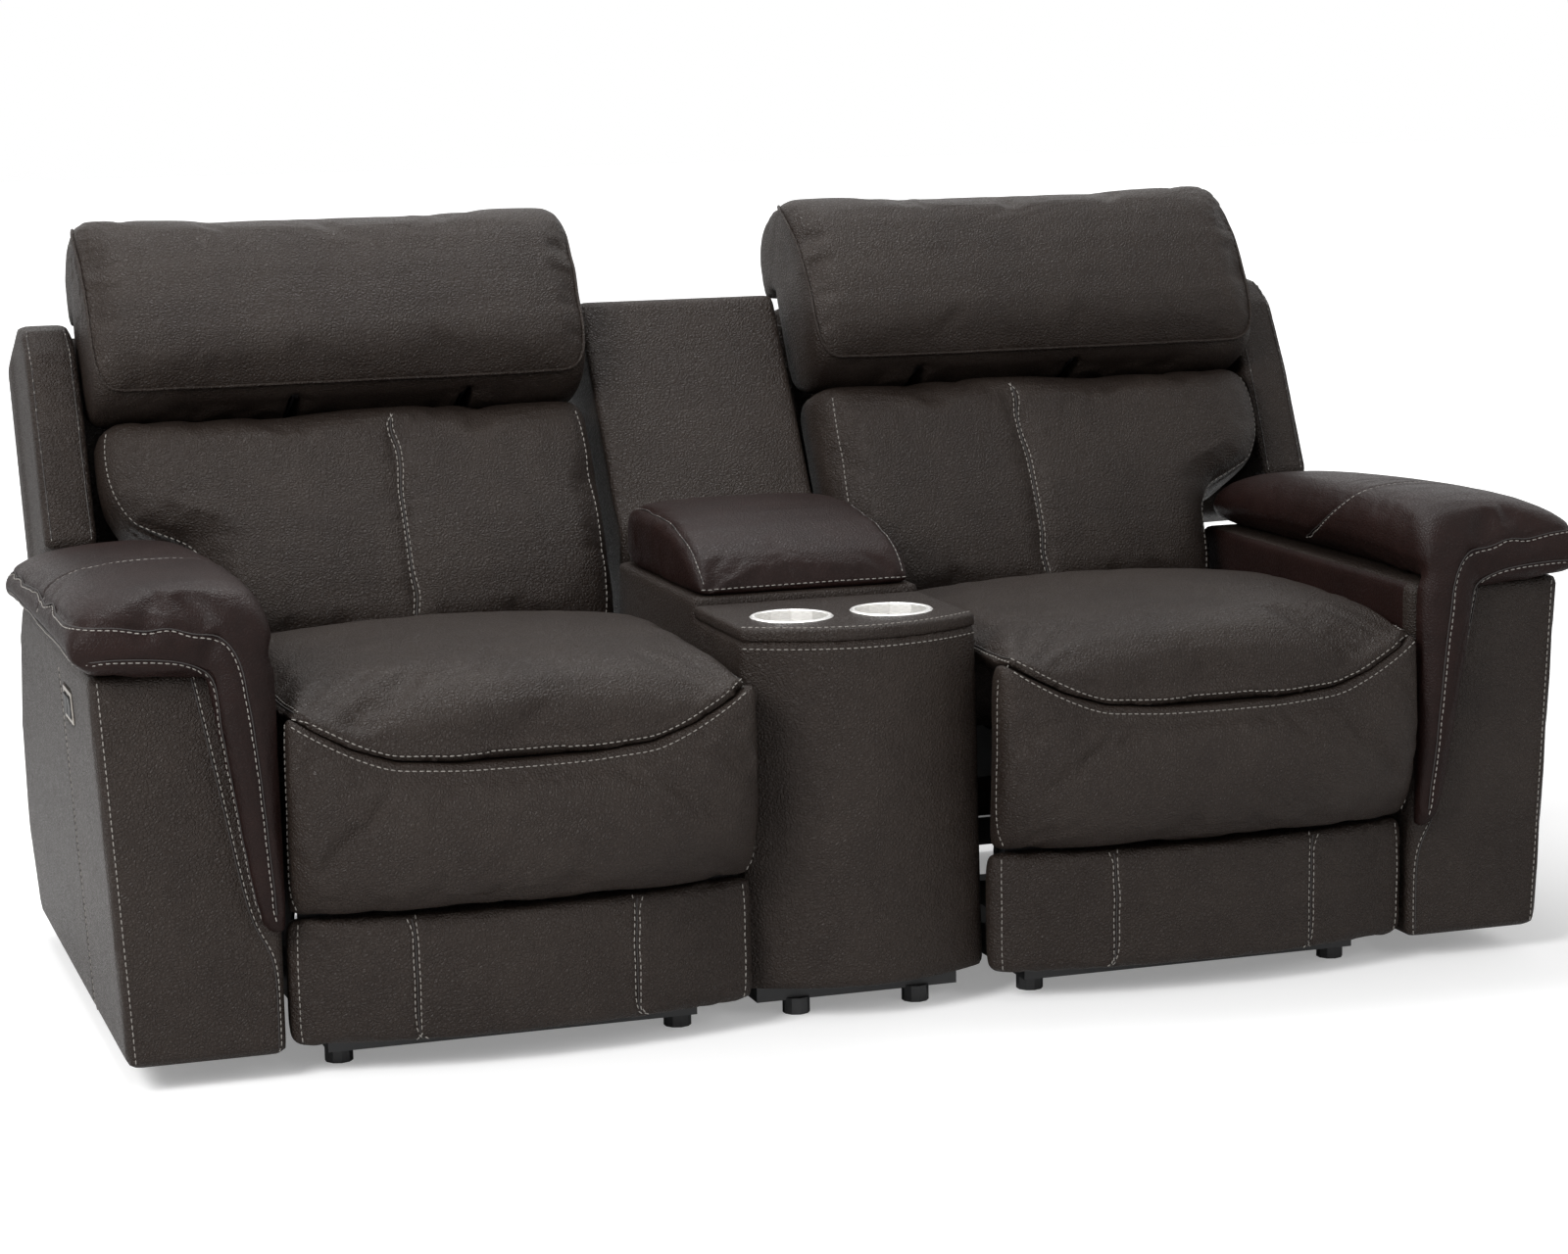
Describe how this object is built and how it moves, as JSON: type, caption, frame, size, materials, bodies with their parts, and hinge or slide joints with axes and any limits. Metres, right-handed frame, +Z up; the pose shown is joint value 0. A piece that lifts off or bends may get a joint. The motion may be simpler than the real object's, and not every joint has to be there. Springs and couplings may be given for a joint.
{
  "type": "reclining loveseat",
  "caption": "Leather reclining loveseat with a storage console between the seats: tilting backs and headrests, swing-out footrests, hinged lid and cup holders.",
  "frame": {"origin": "on the floor, under the middle of the whole loveseat's box", "axes": "+Z up; the front of the seats faces -Y; +X to the right as seen from the front, along the width"},
  "size_m": [1.9772, 1.0612, 0.9943],
  "materials": {
    "leather": "pebbled, semi-matte",
    "pad_leather": "smooth, soft sheen",
    "steel": "black coat",
    "wood": "bare plywood",
    "plastic": "matte",
    "stainless": "brushed",
    "switch_metal": "brushed"
  },
  "bodies": {
    "frame": {"base_frame_left": "steel", "base_frame_right": "steel", "rear_apron_left": "leather", "rear_apron_right": "leather", "console_base": "steel", "arm_casing_left": "leather", "arm_casing_right": "leather", "arm_pad_left": "pad_leather", "arm_pad_right": "pad_leather", "console_casing": "leather", "console_deck": "leather", "cup_holder_left": "stainless", "cup_holder_right": "stainless", "console_back": "leather", "lid_hinge_plate": "steel", "switch_plate_left": "switch_metal", "switch_plate_right": "switch_metal"},
    "lid": {"lid_board": "wood", "lid_pad": "pad_leather", "lid_hinge_leaf": "steel"},
    "left_recline_button": {"recline_rocker_left": "plastic"},
    "left_headrest_button": {"headrest_rocker_left": "plastic"},
    "left_seat": {"seat_cushion_left": "leather", "seat_frame_left": "steel", "outer_side_plate_left": "steel", "inner_side_plate_left": "steel", "footrest_motor_left": "plastic"},
    "left_drive": {"drive_nut_left": "plastic"},
    "left_crank": {"crank_left": "steel"},
    "left_carrier": {"carrier_left": "steel"},
    "left_brace": {"brace_left": "steel"},
    "left_footrest": {"footrest_board_left": "wood", "front_drop_left": "leather", "lower_panel_left": "leather"},
    "left_back": {"back_frame_left": "steel", "back_shell_left": "leather", "back_cushion_left": "leather"},
    "left_headrest": {"headrest_bracket_left": "steel", "headrest_cushion_left": "leather"},
    "right_recline_button": {"recline_rocker_right": "plastic"},
    "right_headrest_button": {"headrest_rocker_right": "plastic"},
    "right_seat": {"seat_cushion_right": "leather", "seat_frame_right": "steel", "outer_side_plate_right": "steel", "inner_side_plate_right": "steel", "footrest_motor_right": "plastic"},
    "right_drive": {"drive_nut_right": "plastic"},
    "right_crank": {"crank_right": "steel"},
    "right_carrier": {"carrier_right": "steel"},
    "right_brace": {"brace_right": "steel"},
    "right_footrest": {"footrest_board_right": "wood", "front_drop_right": "leather", "lower_panel_right": "leather"},
    "right_back": {"back_frame_right": "steel", "back_shell_right": "leather", "back_cushion_right": "leather"},
    "right_headrest": {"headrest_bracket_right": "steel", "headrest_cushion_right": "leather"}
  },
  "joints": [
    {"name": "lid_hinge", "type": "hinge", "parent": "frame", "child": "lid", "pos_m": [0, 0.1495, 0.582], "axis": [-1, 0, 0], "range_deg": [0, 85]},
    {"name": "left_recline_button_tilt", "type": "hinge", "parent": "frame", "child": "left_recline_button", "pos_m": [-0.9534, -0.272, 0.44183], "axis": [0, 1, 0], "range_deg": [-6, 6], "stiffness_Nm_per_rad": 0.05},
    {"name": "left_headrest_button_tilt", "type": "hinge", "parent": "frame", "child": "left_headrest_button", "pos_m": [-0.9534, -0.242, 0.44183], "axis": [0, 1, 0], "range_deg": [-6, 6], "stiffness_Nm_per_rad": 0.05},
    {"name": "left_seat_slide", "type": "slide", "parent": "frame", "child": "left_seat", "axis": [0, -1, 0], "range_m": [0, 0.08]},
    {"name": "left_recline", "type": "hinge", "parent": "left_seat", "child": "left_back", "pos_m": [-0.455, 0.1875, 0.3], "axis": [-1, 0, 0], "range_deg": [0, 35]},
    {"name": "left_headrest_tilt", "type": "hinge", "parent": "left_back", "child": "left_headrest", "pos_m": [-0.455, 0.27227, 0.76138], "axis": [1, 0, 0], "range_deg": [0, 22]},
    {"name": "left_crank_turn", "type": "hinge", "parent": "left_seat", "child": "left_crank", "pos_m": [-0.455, -0.32, 0.285], "axis": [-1, 0, 0], "range_deg": [0, 90]},
    {"name": "left_carrier_turn", "type": "hinge", "parent": "left_crank", "child": "left_carrier", "pos_m": [-0.455, -0.29, 0.1], "axis": [-1, 0, 0], "range_deg": [-130, 0]},
    {"name": "left_brace_turn", "type": "hinge", "parent": "left_crank", "child": "left_brace", "pos_m": [-0.455, -0.287, 0.16], "axis": [-1, 0, 0], "range_deg": [-130, 0]},
    {"name": "left_footrest_turn", "type": "hinge", "parent": "left_carrier", "child": "left_footrest", "pos_m": [-0.455, -0.405, 0.31], "axis": [-1, 0, 0], "range_deg": [0, 130]},
    {"name": "left_drive_slide", "type": "slide", "parent": "left_seat", "child": "left_drive", "axis": [0, -1, 0], "range_m": [0, 0.05]},
    {"name": "right_recline_button_tilt", "type": "hinge", "parent": "frame", "child": "right_recline_button", "pos_m": [0.9534, -0.272, 0.44183], "axis": [0, 1, 0], "range_deg": [-6, 6], "stiffness_Nm_per_rad": 0.05},
    {"name": "right_headrest_button_tilt", "type": "hinge", "parent": "frame", "child": "right_headrest_button", "pos_m": [0.9534, -0.242, 0.44183], "axis": [0, 1, 0], "range_deg": [-6, 6], "stiffness_Nm_per_rad": 0.05},
    {"name": "right_seat_slide", "type": "slide", "parent": "frame", "child": "right_seat", "axis": [0, -1, 0], "range_m": [0, 0.08]},
    {"name": "right_recline", "type": "hinge", "parent": "right_seat", "child": "right_back", "pos_m": [0.455, 0.1875, 0.3], "axis": [-1, 0, 0], "range_deg": [0, 35]},
    {"name": "right_headrest_tilt", "type": "hinge", "parent": "right_back", "child": "right_headrest", "pos_m": [0.455, 0.27227, 0.76138], "axis": [1, 0, 0], "range_deg": [0, 22]},
    {"name": "right_crank_turn", "type": "hinge", "parent": "right_seat", "child": "right_crank", "pos_m": [0.455, -0.32, 0.285], "axis": [-1, 0, 0], "range_deg": [0, 90]},
    {"name": "right_carrier_turn", "type": "hinge", "parent": "right_crank", "child": "right_carrier", "pos_m": [0.455, -0.29, 0.1], "axis": [-1, 0, 0], "range_deg": [-130, 0]},
    {"name": "right_brace_turn", "type": "hinge", "parent": "right_crank", "child": "right_brace", "pos_m": [0.455, -0.287, 0.16], "axis": [-1, 0, 0], "range_deg": [-130, 0]},
    {"name": "right_footrest_turn", "type": "hinge", "parent": "right_carrier", "child": "right_footrest", "pos_m": [0.455, -0.405, 0.31], "axis": [-1, 0, 0], "range_deg": [0, 130]},
    {"name": "right_drive_slide", "type": "slide", "parent": "right_seat", "child": "right_drive", "axis": [0, -1, 0], "range_m": [0, 0.05]}
  ],
  "couplings": [
    {"joint": "left_seat_slide", "follows": "left_recline", "m_per_rad": 0.1309},
    {"joint": "left_carrier_turn", "follows": "left_crank_turn", "ratio": -1.4444},
    {"joint": "left_brace_turn", "follows": "left_crank_turn", "ratio": -1.4444},
    {"joint": "left_footrest_turn", "follows": "left_crank_turn", "ratio": 1.4444},
    {"joint": "left_drive_slide", "follows": "left_crank_turn", "m_per_rad": 0.0318},
    {"joint": "right_seat_slide", "follows": "right_recline", "m_per_rad": 0.1309},
    {"joint": "right_carrier_turn", "follows": "right_crank_turn", "ratio": -1.4444},
    {"joint": "right_brace_turn", "follows": "right_crank_turn", "ratio": -1.4444},
    {"joint": "right_footrest_turn", "follows": "right_crank_turn", "ratio": 1.4444},
    {"joint": "right_drive_slide", "follows": "right_crank_turn", "m_per_rad": 0.0318}
  ]
}
